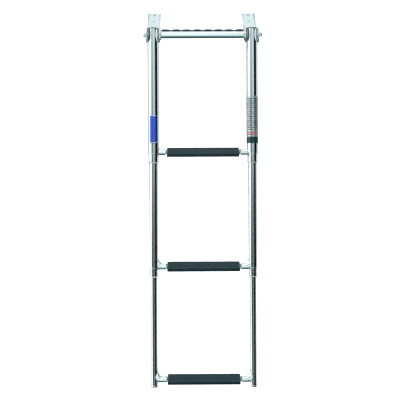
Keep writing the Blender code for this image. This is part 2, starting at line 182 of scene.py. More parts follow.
class Graph:
    """A node tree to which nodes are added one by one."""

    def __init__(self, tree):
        self.tree = tree

    def node(self, kind, settings=None, sockets=None, output=0):
        made = self.tree.nodes.new(kind)
        for name, value in (settings or {}).items():
            if name == "stops":
                self.set_stops(made.color_ramp, value)
            else:
                setattr(made, name, value)
        for key, value in (sockets or {}).items():
            self.feed(made.inputs[key], value)
        return Value(self, made.outputs[output])

    def feed(self, socket, value):
        if isinstance(value, Value):
            self.tree.links.new(value.socket, socket)
        else:
            socket.default_value = value

    def set_stops(self, ramp, stops):
        while len(ramp.elements) < len(stops):
            ramp.elements.new(1.0)
        for element, (place, colour) in zip(ramp.elements, stops):
            element.position = place
            element.color = colour

    def split(self, vector, axis):
        return self.node("ShaderNodeSeparateXYZ", None, {0: vector}, axis)


class Finish(Graph):
    """A new material with one Principled shader."""

    def __init__(self, name, **constants):
        self.material = bpy.data.materials.new(name)
        self.material.use_nodes = True
        super().__init__(self.material.node_tree)
        self.shader = self.tree.nodes["Principled BSDF"]
        for key, value in constants.items():
            self.shader.inputs[key.replace("_", " ")].default_value = value

    def put(self, name, value):
        self.feed(self.shader.inputs[name], value)

    def place(self, turn=(0.0, 0.0, 0.0), scale=(1.0, 1.0, 1.0), shift=(0.0, 0.0, 0.0)):
        """Object coordinates, turned and stretched."""
        source = self.node("ShaderNodeTexCoord", None, None, "Object")
        sockets = {"Vector": source, "Location": shift, "Rotation": turn, "Scale": scale}
        return self.node("ShaderNodeMapping", None, sockets)

    def noise(self, vector, scale, detail=4.0, roughness=0.5):
        sockets = {"Vector": vector, "Scale": scale, "Detail": detail, "Roughness": roughness}
        return self.node("ShaderNodeTexNoise", None, sockets)

    def mix(self, factor, first, second):
        sockets = {"Factor": factor, 6: first, 7: second}
        return self.node("ShaderNodeMix", {"data_type": "RGBA"}, sockets, 2)

    def bump(self, height, distance, strength=1.0):
        sockets = {"Height": height, "Distance": distance, "Strength": strength}
        self.put("Normal", self.node("ShaderNodeBump", None, sockets))


def lean_turn():
    """The turn that brings object coordinates into the ladder's frame."""
    return tuple(LADDER.to_3x3().inverted().to_euler())


# ------------------------------------------------------------------ materials


def polished_steel(name, turn, grain):
    """Mirror-polished tube: long buffing lines, a faint haze and a few dried water spots."""
    colours = bpy.context.scene.ladder_colours
    steel = Finish(name, Metallic=1.0, IOR=2.5)
    place = steel.place(turn=turn)
    lines = steel.noise(steel.place(turn=turn, scale=grain), 900.0, 2.0)
    haze = steel.noise(place, 14.0, 3.0)
    spots = steel.node("ShaderNodeTexVoronoi", None, {"Vector": place, "Scale": 130.0, "Randomness": 1.0})
    spot = (0.16 - spots).math("MAXIMUM", 0.0) * 4.0
    steel.put("Base Color", steel.mix(haze, (*colours.steel, 1.0), (*colours.steel_deep, 1.0)))
    steel.put("Roughness", haze * 0.05 + lines * 0.05 + spot * 0.12 + 0.035)
    steel.bump(lines, 0.000006, 0.5)
    return steel.material


def satin_steel(name, turn, grain):
    """Brushed plate and fasteners: short scratches one way, with duller handled patches."""
    colours = bpy.context.scene.ladder_colours
    steel = Finish(name, Metallic=1.0, IOR=2.5)
    brush = steel.noise(steel.place(turn=turn, scale=grain), 1400.0, 5.0, 0.65)
    patch = steel.noise(steel.place(turn=turn), 22.0, 3.0)
    steel.put("Base Color", steel.mix(brush, (*colours.plate, 1.0), (*colours.steel, 1.0)))
    steel.put("Roughness", brush * 0.1 + patch * 0.08 + 0.1)
    steel.bump(brush, 0.00002, 0.35)
    return steel.material


def black_plastic(name, grain, gloss):
    """Moulded plastic with a fine spark-eroded grain and slightly paler rubbed patches."""
    colours = bpy.context.scene.ladder_colours
    plastic = Finish(name, Metallic=0.0, IOR=1.55, Specular_Tint=(0.6, 0.9, 1.0, 1.0))
    place = plastic.place()
    fine = plastic.noise(place, grain, 3.0, 0.6)
    rubbed = plastic.noise(place, 30.0, 4.0)
    mask = (rubbed - 0.45).math("MAXIMUM", 0.0) * 2.2
    plastic.put("Base Color", plastic.mix(mask, (*colours.plastic, 1.0), (*colours.plastic_rubbed, 1.0)))
    plastic.put("Roughness", fine * 0.18 + rubbed * 0.12 + (gloss - 0.15))
    plastic.bump(fine, 0.00008, 0.6)
    return plastic.material


def nylon():
    """Natural nylon: warm white, faintly mottled."""
    colours = bpy.context.scene.ladder_colours
    made = Finish("natural_nylon", Metallic=0.0)
    mottle = made.noise(made.place(), 90.0, 4.0)
    deeper = tuple(c * 0.86 for c in colours.nylon)
    made.put("Base Color", made.mix(mottle, (*colours.nylon, 1.0), (*deeper, 1.0)))
    made.put("Roughness", mottle * 0.2 + 0.35)
    made.bump(mottle, 0.00003, 0.4)
    return made.material


def weld_steel():
    """Polished weld bead, a little yellower than the tube."""
    weld = Finish("weld_steel", Metallic=1.0)
    heat = weld.noise(weld.place(), 260.0, 3.0)
    weld.put("Base Color", weld.mix(heat, (0.72, 0.74, 0.73, 1.0), (0.56, 0.56, 0.52, 1.0)))
    weld.put("Roughness", heat * 0.15 + 0.16)
    return weld.material


def blue_label(low, high):
    """A blank blue film with a pale line at its top and its bottom."""
    colours = bpy.context.scene.ladder_colours
    film = Finish("blue_film", Coat_Weight=0.6, Coat_Roughness=0.06)
    place = film.place(turn=lean_turn(), shift=label_shift())
    up = film.split(place, 2)
    run = (up - low) / (high - low)
    line = run.within(0.955, 0.985) + run.within(0.02, 0.04)
    tone = film.noise(place, 60.0, 3.0)
    field = film.mix(tone, (*colours.label_blue, 1.0), (*colours.label_blue_deep, 1.0))
    film.put("Base Color", film.mix(line.math("MINIMUM", 1.0), field, (0.72, 0.80, 0.84, 1.0)))
    film.put("Metallic", 0.72 - line * 0.5)
    film.put("Roughness", tone * 0.1 + 0.16)
    return film.material


def label_shift():
    """Moves turned object coordinates to the ladder's own origin."""
    return tuple(-(LADDER.to_3x3().inverted() @ LADDER.translation))


def banded_label(low, high, centre_x):
    """A silvery wrap with blank print bars, a pair of red rows and a dark foot band."""
    colours = bpy.context.scene.ladder_colours
    film = Finish("banded_film", Coat_Weight=0.4, Coat_Roughness=0.06)
    place = film.place(turn=lean_turn(), shift=label_shift())
    up = film.split(place, 2)
    run = (up - low) / (high - low)
    across = film.split(place, 0) - centre_x
    around = across.math("ARCTAN2", film.split(place, 1)) / math.pi
    row = (run * 26.0).math("FRACT")
    line_number = (run * 26.0).math("FLOOR")
    bar_end = (line_number * 0.618).math("FRACT") * 0.35 + 0.55
    column = (around * 3.0 + 6.0).math("FRACT")
    bars = row.within(0.25, 0.78) * column.within(0.05, bar_end + 0.1) * (run > 0.27) * (run < 0.97)
    red = run.within(0.17, 0.195) + run.within(0.215, 0.24)
    foot = run < 0.14
    tone = film.noise(place, 70.0, 3.0)
    field = film.mix(tone, (*colours.label_film, 1.0), (*colours.label_film_deep, 1.0))
    printed = film.mix(bars, field, (0.035, 0.05, 0.055, 1.0))
    rows = film.mix(red.math("MINIMUM", 1.0), printed, (0.42, 0.09, 0.12, 1.0))
    film.put("Base Color", film.mix(foot, rows, (0.010, 0.05, 0.045, 1.0)))
    bare = (1 - bars) * (1 - foot * 0.7) * (1 - red.math("MINIMUM", 1.0))
    film.put("Metallic", bare * 0.7)
    film.put("Roughness", tone * 0.1 + 0.12)
    return film.material


def floor_material():
    pale = Finish("pale_floor", Metallic=0.0)
    tone = pale.noise(pale.place(), 1.5, 2.0)
    pale.put("Base Color", pale.mix(tone, (0.93, 0.935, 0.94, 1.0), (0.90, 0.905, 0.91, 1.0)))
    pale.put("Roughness", tone * 0.1 + 0.75)
    return pale.material


class Materials:
    """The finishes, each made once."""

    made = {}

    @classmethod
    def get(cls, name, maker, *values):
        if name not in cls.made:
            cls.made[name] = maker(*values)
        return cls.made[name]


def tube_steel():
    return Materials.get("tube", polished_steel, "polished_tube", lean_turn(), (1.0, 1.0, 0.015))


def cross_steel():
    return Materials.get("cross", polished_steel, "polished_cross_tube", (0.0, 0.0, 0.0), (0.015, 1.0, 1.0))


def plate_steel():
    return Materials.get("plate", satin_steel, "brushed_plate", (0.0, 0.0, 0.0), (1.0, 0.03, 1.0))


def fastener_steel():
    return Materials.get("fastener", satin_steel, "turned_fastener", (0.0, 0.0, 0.0), (1.0, 1.0, 1.0))


def tread_plastic():
    return Materials.get("tread", black_plastic, "tread_plastic", 1800.0, 0.36)


def cap_plastic():
    return Materials.get("cap", black_plastic, "cap_plastic", 1200.0, 0.36)


def nylon_white():
    return Materials.get("nylon", nylon)


# ------------------------------------------------------------------ mesh helpers


def soften(points, closed=True, steps=4):
    """Rounds the corners of (a, b, radius) points."""
    made = []
    for k, (a, b, radius) in enumerate(points):
        here = Vector((a, b))
        if radius == 0 or (not closed and k in (0, len(points) - 1)):
            made.append((a, b))
            continue
        back = Vector(points[k - 1][:2]) - here
        ahead = Vector(points[(k + 1) % len(points)][:2]) - here
        half = back.angle(ahead) / 2
        reach = min(radius / math.tan(half), 0.48 * back.length, 0.48 * ahead.length)
        start = here + back.normalized() * reach
        end = here + ahead.normalized() * reach
        for s in range(steps + 1):
            t = s / steps
            point = start * (1 - t) ** 2 + here * 2 * t * (1 - t) + end * t**2
            made.append((point.x, point.y))
    return made


def held(profile, closed):
    """A profile with a point close to each end of its long runs, so that their shading stays straight."""
    made = []
    ends = profile[1:] + (profile[:1] if closed else [])
    for start, end in zip(profile, ends):
        made.append(start)
        run = Vector(end) - Vector(start)
        if run.length > 4 * MM:
            step = run.normalized() * 0.4 * MM
            made += [tuple(Vector(start) + step), tuple(Vector(end) - step)]
    return made if closed else made + [profile[-1]]


def turned(profile, matrix, closed=True, sides=96, shape=None):
    """Turns (radius, height) points about Z, and lets shape(radius, height, angle) change each radius."""
    bm = bmesh.new()
    profile = held(profile, closed)
    rings = []
    for radius, height in profile:
        if radius < 1e-9:
            rings.append([bm.verts.new((0, 0, height))])
            continue
        ring = []
        for k in range(sides):
            angle = 2 * math.pi * k / sides
            r = shape(radius, height, angle) if shape else radius
            ring.append(bm.verts.new((r * math.cos(angle), r * math.sin(angle), height)))
        rings.append(ring)
    pairs = list(zip(rings, rings[1:]))
    if closed:
        pairs.append((rings[-1], rings[0]))
    for first, second in pairs:
        for k in range(sides):
            n = (k + 1) % sides
            corners = [first[k % len(first)], first[n % len(first)]]
            corners += [second[n % len(second)], second[k % len(second)]]
            bm.faces.new(list(dict.fromkeys(corners)))
    bm.transform(matrix)
    return bm


def skinned(sections, matrix, end_points=None):
    """Skins rings of equally many points. Ends close flat, or to a point each."""
    bm = bmesh.new()
    rings = [[bm.verts.new(p) for p in section] for section in sections]
    count = len(rings[0])
    for first, second in zip(rings, rings[1:]):
        for k in range(count):
            n = (k + 1) % count
            bm.faces.new((first[k], first[n], second[n], second[k]))
    for ring, index in ((rings[0], 0), (rings[-1], 1)):
        if end_points is None:
            bm.faces.new(ring)
            continue
        tip = bm.verts.new(end_points[index])
        for k in range(count):
            bm.faces.new((ring[k], ring[(k + 1) % count], tip))
    bm.transform(matrix)
    return bm


def mesh_of(name, bm):
    bmesh.ops.recalc_face_normals(bm, faces=bm.faces)
    mesh = bpy.data.meshes.new(name)
    bm.to_mesh(mesh)
    bm.free()
    return mesh


def piece(name, mesh, material, body, nodes, smooth=40.0):
    """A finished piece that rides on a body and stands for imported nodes."""
    mesh = mesh_of(name, mesh) if isinstance(mesh, bmesh.types.BMesh) else mesh
    mesh.shade_smooth()
    mesh.set_sharp_from_angle(angle=math.radians(smooth))
    mesh.materials.clear()
    mesh.materials.append(material)
    made = bpy.data.objects.new(name, mesh)
    bpy.context.scene.collection.objects.link(made)
    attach(made, body)
    if nodes:
        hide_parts(*nodes)
    return made


def evaluated(mesh, modifiers):
    """A mesh after modifiers, each given as (kind, settings)."""
    holder = bpy.data.objects.new("holder", mesh)
    bpy.context.scene.collection.objects.link(holder)
    tools = []
    for kind, settings in modifiers:
        step = holder.modifiers.new(kind.lower(), kind)
        for key, value in settings.items():
            if isinstance(value, bmesh.types.BMesh):
                value = bpy.data.objects.new("tool", mesh_of("tool", value))
                bpy.context.scene.collection.objects.link(value)
                tools.append(value)
            setattr(step, key, value)
    graph = bpy.context.evaluated_depsgraph_get()
    result = bpy.data.meshes.new_from_object(holder.evaluated_get(graph))
    for spare in [holder, *tools]:
        bpy.data.objects.remove(spare)
    return result


def grown(name, tree, values, mesh=None):
    """The plain mesh that a Geometry Nodes tree makes from named values."""
    holder = bpy.data.objects.new(name, mesh or bpy.data.meshes.new(name))
    bpy.context.scene.collection.objects.link(holder)
    step = holder.modifiers.new("grow", "NODES")
    step.node_group = tree
    for item in tree.interface.items_tree:
        if item.item_type == "SOCKET" and item.in_out == "INPUT" and item.name in values:
            step[item.identifier] = values[item.name]
    graph = bpy.context.evaluated_depsgraph_get()
    result = bpy.data.meshes.new_from_object(holder.evaluated_get(graph))
    bpy.data.objects.remove(holder)
    return result


def new_tree(name, inputs):
    """An empty Geometry Nodes tree with named inputs. Returns its graph and its input values."""
    tree = bpy.data.node_groups.new(name, "GeometryNodeTree")
    tree.is_modifier = True
    tree.interface.new_socket("Geometry", in_out="INPUT", socket_type="NodeSocketGeometry")
    for label, kind in inputs:
        tree.interface.new_socket(label, in_out="INPUT", socket_type=f"NodeSocket{kind}")
    tree.interface.new_socket("Geometry", in_out="OUTPUT", socket_type="NodeSocketGeometry")
    graph = Graph(tree)
    entry = tree.nodes.new("NodeGroupInput")
    given = {socket.name: Value(graph, socket) for socket in entry.outputs if socket.name}
    return graph, given


def close_tree(graph, geometry, material):
    """Ends a tree in smooth shading, Realize Instances and Set Material."""
    realized = graph.node("GeometryNodeRealizeInstances", None, {"Geometry": geometry})
    smooth = graph.node("GeometryNodeSetShadeSmooth", None, {"Geometry": realized})
    painted = graph.node("GeometryNodeSetMaterial", None, {"Geometry": smooth, "Material": material})
    end = graph.tree.nodes.new("NodeGroupOutput")
    graph.tree.links.new(painted.socket, end.inputs[0])
    return graph.tree


def at(x, y=0.0, z=0.0):
    return LADDER @ Matrix.Translation((x, y, z))


def on_hinge(sign=1):
    """Lays a turned piece along the hinge axis, its height running outwards on one side."""
    return Matrix.Translation(HINGE) @ Matrix.Rotation(sign * math.pi / 2, 4, "Y")


def eased(value, low, high):
    """0 at low, 1 at high, with a smooth start and end."""
    t = min(max((value - low) / (high - low), 0.0), 1.0)
    return t * t * (3 - 2 * t)


def pair(nodes):
    return [f"{nodes}_{side}" for side in SIDES]


# ------------------------------------------------------------------ properties


def length(name, description, default):
    return bpy.props.FloatProperty(name=name, description=description, default=default, unit="LENGTH")


def angle(name, description, degrees):
    default = math.radians(degrees)
    return bpy.props.FloatProperty(name=name, description=description, default=default, subtype="ANGLE")


def colour(name, description, default):
    return bpy.props.FloatVectorProperty(
        name=name, description=description, default=default, subtype="COLOR", min=0.0, max=1.0, size=3
    )


class LadderSizes(bpy.types.PropertyGroup):
    """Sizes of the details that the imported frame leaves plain."""

    tread_dip: angle("Tread tilt", "How far a tread tilts from square to the side tubes", 28.0)
    rib_count: bpy.props.IntProperty(name="Ribs", description="Ribs along each tread", default=9, min=3)
    rib_height: length("Rib height", "How far a rib stands proud", 1.2 * MM)
    tread_edge: length("Tread nose", "Radius of a tread's long top edges", 3.0 * MM)
    arm_radius: length("Rung arm", "Radius of a rung beside its side tubes", 9.0 * MM)
    flat_depth: length("Flattened depth", "Depth of a rung inside its tread", 25.0 * MM)
    flat_height: length("Flattened height", "Height of a rung inside its tread", 6.5 * MM)
    bead: length("Weld bead", "Radius of the weld beads", 0.7 * MM)
    notches: bpy.props.IntProperty(
        name="Grip notches", description="Notches across the grip", default=7, min=1
    )
    notch_pitch: length("Notch pitch", "Distance from notch to notch", 29.0 * MM)
    notch_depth: length("Notch depth", "Depth of a notch", 2.6 * MM)
    sheet: length("Bracket sheet", "Thickness of the brackets' sheet", 2.5 * MM)
    bolt_radius: length("Bolt hole", "Radius of the deck bolt holes", 3.5 * MM)
    bolt_first: length("First bolt", "From the hinge axis to the first hole", 0.169)
    bolt_second: length("Second bolt", "From the hinge axis to the second hole", 0.227)


class LadderColours(bpy.types.PropertyGroup):
    """Base colours of the finishes."""

    steel: colour("Steel", "Polished stainless steel", (0.84, 0.88, 0.89))
    steel_deep: colour("Steel, deeper", "Polished steel where the haze is thicker", (0.78, 0.83, 0.845))
    plate: colour("Plate", "Brushed bracket plate", (0.66, 0.70, 0.70))
    plastic: colour("Plastic", "Black treads, grip and caps", (0.006, 0.017, 0.022))
    plastic_rubbed: colour("Plastic, rubbed", "Black plastic where it is rubbed", (0.011, 0.027, 0.034))
    nylon: colour("Nylon", "Guide bushes", (0.80, 0.79, 0.74))
    label_blue: colour("Blue film", "Left label", (0.08, 0.19, 0.95))
    label_blue_deep: colour("Blue film, deeper", "Darker parts of the left label", (0.04, 0.12, 0.70))
    label_film: colour("Silver film", "Right label", (0.62, 0.74, 0.74))
    label_film_deep: colour("Silver film, deeper", "Darker parts of the right label", (0.50, 0.62, 0.62))


class LadderStage(bpy.types.PropertyGroup):
    """Camera, floor and light."""

    distance: length("Distance", "Camera to the ladder's plane", 3.847)
    drop: length("Below hinge", "Camera below the hinge, along the ladder", 0.532)
    offset: length("Sideways", "Camera to one side of the middle", -0.058)
    pitch: angle("Pitch", "Camera's tilt up from square", 1.13)
    yaw: angle("Yaw", "Camera's turn from square", -0.73)
    roll: angle("Roll", "Camera's roll", 0.27)
    lens: bpy.props.FloatProperty(name="Lens", description="Focal length in mm", default=126.0)
    floor_depth: length("Floor", "Floor below the deck", 2.2)
    key_power: bpy.props.FloatProperty(
        name="Key light", description="Power of the overhead softbox", default=30.0
    )
    sky: bpy.props.FloatProperty(name="Sky", description="Strength of the surrounding light", default=1.0)


# ------------------------------------------------------------------ brackets and hinge

FLANGE_HEIGHT = 10.5 * MM  # a bracket's sides over the deck
FLANGE_CORNER = 6.0 * MM
FORK_TOP = 8.0 * MM  # the web is cut away under the tube up to here
ROD_HOLE = 4.3 * MM
SHEET_EDGE = 0.35 * MM
BROAD_FACE = 900 * MM * MM  # a face of the sheet larger than this is shaded flat


def bracket_section(outside, inside, sheet, top):
    """The channel's cross-section (x, z), open at the top, with bent lower corners."""
    inner_bend = 2.0 * MM
    outline = [
        (-outside, 0.0, inner_bend + sheet),
        (outside, 0.0, inner_bend + sheet),
        (outside, top, 0.0),
        (inside, top, 0.0),
        (inside, sheet, inner_bend),
        (-inside, sheet, inner_bend),
        (-inside, top, 0.0),
        (-outside, top, 0.0),
    ]
    return soften(outline, steps=8)


def arc(centre, radius, start, end, steps):
    angles = [start + (end - start) * k / steps for k in range(steps + 1)]
    return [(centre[0] + radius * math.cos(a), centre[1] + radius * math.sin(a)) for a in angles]


def slab(outline, low, high):
    """An outline of (y, z) points, extruded along X."""
    return skinned([[(x, y, z) for y, z in outline] for x in (low, high)], Matrix())


def bracket_side(reach, height, ear, flange):
    """The bracket seen along X: ear at the hinge axis, then a slope down to the low flange."""
    corner = FLANGE_CORNER
    outline = arc((0.0, height), ear, math.radians(60), math.radians(270), 48)
    outline += [(8.0 * MM, -MM), (reach, -MM)]
    outline += arc((reach - corner, flange - corner), corner, 0.0, math.pi / 2, 10)
    slope = [(0.095, flange, 0.0), (0.060, flange + 3.0 * MM, 0.030)]
    start = outline[0]
    curve = soften([(*outline[-1], 0.0), *slope, (*start, 0.0)], closed=False, steps=8)
    return outline + curve[1:-1]


class LADDER_OT_brackets(bpy.types.Operator):
    """Folded channel brackets with two ears each"""

    bl_idname = "ladder.brackets"
    bl_label = "Brackets"

    def execute(self, context):
        for side in SIDES:
            self.bracket(side, context.scene.ladder_sizes)
        return {"FINISHED"}

    def bracket(self, side, sizes):
        low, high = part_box(f"bracket_{side}")
        x = (low.x + high.x) / 2
        outside = (high.x - low.x) / 2
        inside = outside - sizes.sheet
        section = bracket_section(outside, inside, sizes.sheet, high.z + MM)
        ends = (low.y - MM, high.y)
        channel = skinned([[(x + px, y, pz) for px, pz in section] for y in ends], Matrix())
        side_view = bracket_side(high.y, HINGE.z, high.z - HINGE.z, FLANGE_HEIGHT)
        outline = slab(side_view, x - outside - MM, x + outside + MM)
        cuts = [("BOOLEAN", {"operation": "INTERSECT", "object": outline})]
        pin = turned(plug(ROD_HOLE, 0.06), Matrix.Translation((x, 0, HINGE.z)) @ sideways(), False, 48)
        tools = [slab(self.mouth(side, low.y, sizes.sheet), x - inside, x + inside), pin]
        for y in (sizes.bolt_first, sizes.bolt_second):
            tools.append(turned(plug(sizes.bolt_radius, 0.01), Matrix.Translation((x, y, 0)), False, 40))
        cuts += [("BOOLEAN", {"object": tool}) for tool in tools]
        edge = {"width": SHEET_EDGE, "segments": 2, "limit_method": "ANGLE"}
        edge["angle_limit"] = math.radians(50)
        cuts.append(("BEVEL", edge))
        mesh = evaluated(mesh_of("bracket", channel), cuts)
        name = f"deck_bracket_{side}"
        made = piece(name, mesh, plate_steel(), "deck_mount", [f"bracket_{side}"], 35.0)
        for face in made.data.polygons:
            face.use_smooth = face.area < BROAD_FACE

    def mouth(self, side, front, sheet):
        """The (y, z) outline of the opening between the ears."""
        web_front = self.web_front(side, sheet)
        low = -5 * MM
        return [(front + low, low), (web_front, low), (web_front, FORK_TOP), (front + low, FORK_TOP)]

    def web_front(self, side, sheet):
        """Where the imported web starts: the foremost of its points near the deck and the middle."""
        low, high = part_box(f"bracket_{side}")
        x = (low.x + high.x) / 2
        points = [v.co for v in frame["nodes"][f"bracket_{side}"].data.vertices]
        return min(p.y for p in points if abs(p.x - x) < 0.016 and p.z < sheet + 0.1 * MM)


def plug(radius, half):
    """A plain rod's profile, for cutting holes."""
    return [(0, -half), (radius, -half), (radius, half), (0, half)]


def sideways():
    return Matrix.Rotation(math.pi / 2, 4, "Y")


def hexagon(radius, height, angle, flat, base, chamfer):
    """A hexagonal nut's radius: six flats with a chamfer towards the dome."""
    sector = (angle % (math.pi / 3)) - math.pi / 6
    corner = flat / math.cos(sector)
    limit = flat * 1.02 + max(base + chamfer - height, 0.0)
    return min(radius, corner, limit)


class LADDER_OT_hinge(bpy.types.Operator):
    """Domed nuts and washers on the ends of the hinge rod"""

    bl_idname = "ladder.hinge"
    bl_label = "Hinge hardware"

    def execute(self, context):
        for side, sign in SIDES.items():
            self.nut(side, sign)
            self.washer(side, sign)
        rod = frame["nodes"]["hinge_rod"]
        rod.data.materials.clear()
        rod.data.materials.append(fastener_steel())
        return {"FINISHED"}

    def nut(self, side, sign):
        facts = end_facts(f"hinge_nut_{side}")
        near, far, outer = facts["near"], facts["far"], facts["outer"]
        flat = outer * math.cos(math.pi / 6)
        hex_top = near + 4.5 * MM
        shoulder = hex_top + 0.5 * MM
        dome = far - shoulder
        profile = [(0, near), (4.4 * MM, near), (outer * 0.9, near), (outer, near + 0.7 * MM)]
        profile += [(outer, near + (hex_top - near) * k / 5) for k in range(1, 6)]
        profile += [(flat * 0.97, shoulder)]
        for k in range(1, 13):
            a = math.pi / 2 * k / 12
            profile.append((flat * 0.93 * math.cos(a), shoulder + dome * math.sin(a)))
        profile[-1] = (0.0, far)

        def shape(radius, height, angle):
            if height > hex_top + 0.1 * MM:
                return radius
            return hexagon(radius, height, angle, flat, hex_top - 1.2 * MM, 1.2 * MM)

        mesh = turned(profile, on_hinge(sign), False, 96, shape)
        name = f"domed_nut_{side}"
        piece(name, mesh, fastener_steel(), "deck_mount", [f"hinge_nut_{side}"], 30.0)

    def washer(self, side, sign):
        facts = end_facts(f"hinge_washer_{side}")
        near, far, edge = facts["near"], facts["far"], 0.3 * MM
        inner, outer = facts["inner"], facts["outer"]
        outline = [(outer, near, edge), (outer, far, edge), (inner, far, edge), (inner, near, edge)]
        mesh = turned(soften(outline), on_hinge(sign), sides=72)
        name = f"flat_washer_{side}"
        piece(name, mesh, fastener_steel(), "deck_mount", [f"hinge_washer_{side}"])


class LADDER_OT_grab_tube(bpy.types.Operator):
    """Polished tube between the brackets, with a flange at each end"""

    bl_idname = "ladder.grab_tube"
    bl_label = "Grab tube"

    def execute(self, context):
        facts = cross_facts("grab_tube")
        edge = 0.4 * MM
        ends = [(facts["low"], facts["outer"]), (facts["high"], facts["outer"])]
        ends += [(facts["high"], facts["inner"]), (facts["low"], facts["inner"])]
        profile = soften([(r, x, edge) for x, r in ends])
        mesh = turned(profile, on_hinge())
        piece("grab_bar", mesh, cross_steel(), "deck_mount", ["grab_tube"])
        for side, sign in SIDES.items():
            self.flange(side, sign, facts["inner"])
        return {"FINISHED"}

    def flange(self, side, sign, tube_inner):
        facts = end_facts(f"grab_flange_{side}")
        low, face = facts["near"], facts["far"]
        back = face - 2.2 * MM
        spigot = tube_inner - GAP
        outline = [
            (facts["outer"], face, 0.5 * MM),
            (facts["inner"], face, 0.2 * MM),
            (facts["inner"], low, 0.2 * MM),
            (spigot, low, 0.6 * MM),
            (spigot, back, 0.0),
            (facts["outer"], back, 0.9 * MM),
        ]
        mesh = turned(soften(outline, steps=5), on_hinge(sign))
        name = f"grab_bar_flange_{side}"
        piece(name, mesh, fastener_steel(), "deck_mount", [f"grab_flange_{side}"])


def grip_tree():
    """A saddle round the tube, scalloped along its length.

    A capped cylinder is the start: the turn round it becomes the walk over the outer face and back
    along the inner face, and its height becomes the run along the tube.
    """
    inputs = [("Length", "Float"), ("Inner radius", "Float"), ("Thickness", "Float"), ("Start", "Float")]
    inputs += [("Sweep", "Float"), ("Notches", "Float"), ("Pitch", "Float"), ("Notch depth", "Float")]
    inputs += [("Material", "Material")]
    graph, given = new_tree("scalloped_grip", inputs)
    sockets = {"Vertices": 72, "Side Segments": 420, "Radius": 1.0, "Depth": 2.0}
    drum = graph.node("GeometryNodeMeshCylinder", {"fill_type": "NGON"}, sockets)
    place = graph.node("GeometryNodeInputPosition")
    walk = graph.split(place, 0).math("ARCCOSINE") / math.pi
    outside = graph.split(place, 1) > 0.0001
    run = graph.split(place, 2) * given["Length"] * 0.5
    angle = given["Start"] + given["Sweep"] * walk
    edge = (1 - abs(walk * 2.0 - 1.0) ** 9.0).math("MAXIMUM", 0.0) ** 0.5
    inside_run = (abs(run) < given["Pitch"] * given["Notches"] * 0.5) * 1.0
    to_notch = abs(run.wrap(given["Pitch"] * -0.5, given["Pitch"] * 0.5)) / (given["Pitch"] * 0.5)
    notch = (1 - to_notch).math("MAXIMUM", 0.0) ** 2.4 * inside_run * given["Notch depth"]
    from_end = given["Length"] * 0.5 - abs(run)
    end_ease = (from_end / 0.0018).math("MINIMUM", 1.0)
    end_round = (1 - (1 - end_ease) ** 2.0) ** 0.5
    rise = (given["Thickness"] - notch) * edge * (end_round * 0.75 + 0.25) * outside
    radius = given["Inner radius"] + rise
    sockets = {0: run, 1: radius * angle.math("COSINE"), 2: radius * angle.math("SINE")}
    moved = graph.node("ShaderNodeCombineXYZ", None, sockets)
    shaped = graph.node("GeometryNodeSetPosition", None, {"Geometry": drum, "Position": moved})
    return close_tree(graph, shaped, given["Material"])


class LADDER_OT_grip(bpy.types.Operator):
    """Black scalloped grip on the upper side of the grab tube"""

    bl_idname = "ladder.grip"
    bl_label = "Grip"

    def execute(self, context):
        sizes = context.scene.ladder_sizes
        facts = cross_facts("grab_grip")
        points = [v.co - HINGE for v in frame["nodes"]["grab_grip"].data.vertices]
        angles = [math.atan2(p.z, -p.y) % (2 * math.pi) for p in points]
        grip_start, grip_end = math.pi - max(angles), math.pi - min(angles)
        values = {
            "Length": facts["high"] - facts["low"],
            "Inner radius": facts["inner"],
            "Thickness": facts["outer"] - facts["inner"],
            "Start": grip_start,
            "Sweep": grip_end - grip_start,
            "Notches": float(sizes.notches),
            "Pitch": sizes.notch_pitch,
            "Notch depth": sizes.notch_depth,
            "Material": tread_plastic(),
        }
        mesh = grown("grip", grip_tree(), values)
        mesh.transform(Matrix.Translation(HINGE))
        mesh = outward(mesh)
        piece("grab_bar_grip", mesh, tread_plastic(), "deck_mount", ["grab_grip"], 60.0)
        return {"FINISHED"}


def outward(mesh):
    """Turns every face of a closed mesh outwards."""
    bm = bmesh.new()
    bm.from_mesh(mesh)
    bmesh.ops.recalc_face_normals(bm, faces=bm.faces)
    bm.to_mesh(mesh)
    bm.free()
    return mesh


# ------------------------------------------------------------------ side tubes


class LADDER_OT_side_tubes(bpy.types.Operator):
    """Three pairs of side tubes that slide in one another"""

    bl_idname = "ladder.side_tubes"
    bl_label = "Side tubes"

    def execute(self, context):
        for section in SECTIONS:
            for side in SIDES:
                self.tube(section, side)
        return {"FINISHED"}

    def tube(self, section, side):
        node = f"{section}_tube_{side}"
        facts = round_facts(node)
        edge = 0.45 * MM
        corners = [(facts["outer"], facts["low"]), (facts["outer"], facts["high"])]
        corners += [(facts["inner"], facts["high"]), (facts["inner"], facts["low"])]
        profile = soften([(r, z, edge) for r, z in corners])
        mesh = mesh_of(node, turned(profile, at(facts["x"])))
        if section == "upper":
            bush = cross_facts(f"pivot_bush_{side}")["outer"] + GAP
            across = Matrix.Translation((facts["x"], 0, HINGE.z)) @ sideways()
            hole = turned(plug(bush, 0.03), across, False, 48)
            mesh = evaluated(mesh, [("BOOLEAN", {"object": hole})])
        body = f"{section}_section"
        piece(f"{section}_side_tube_{side}", mesh, tube_steel(), body, [node])


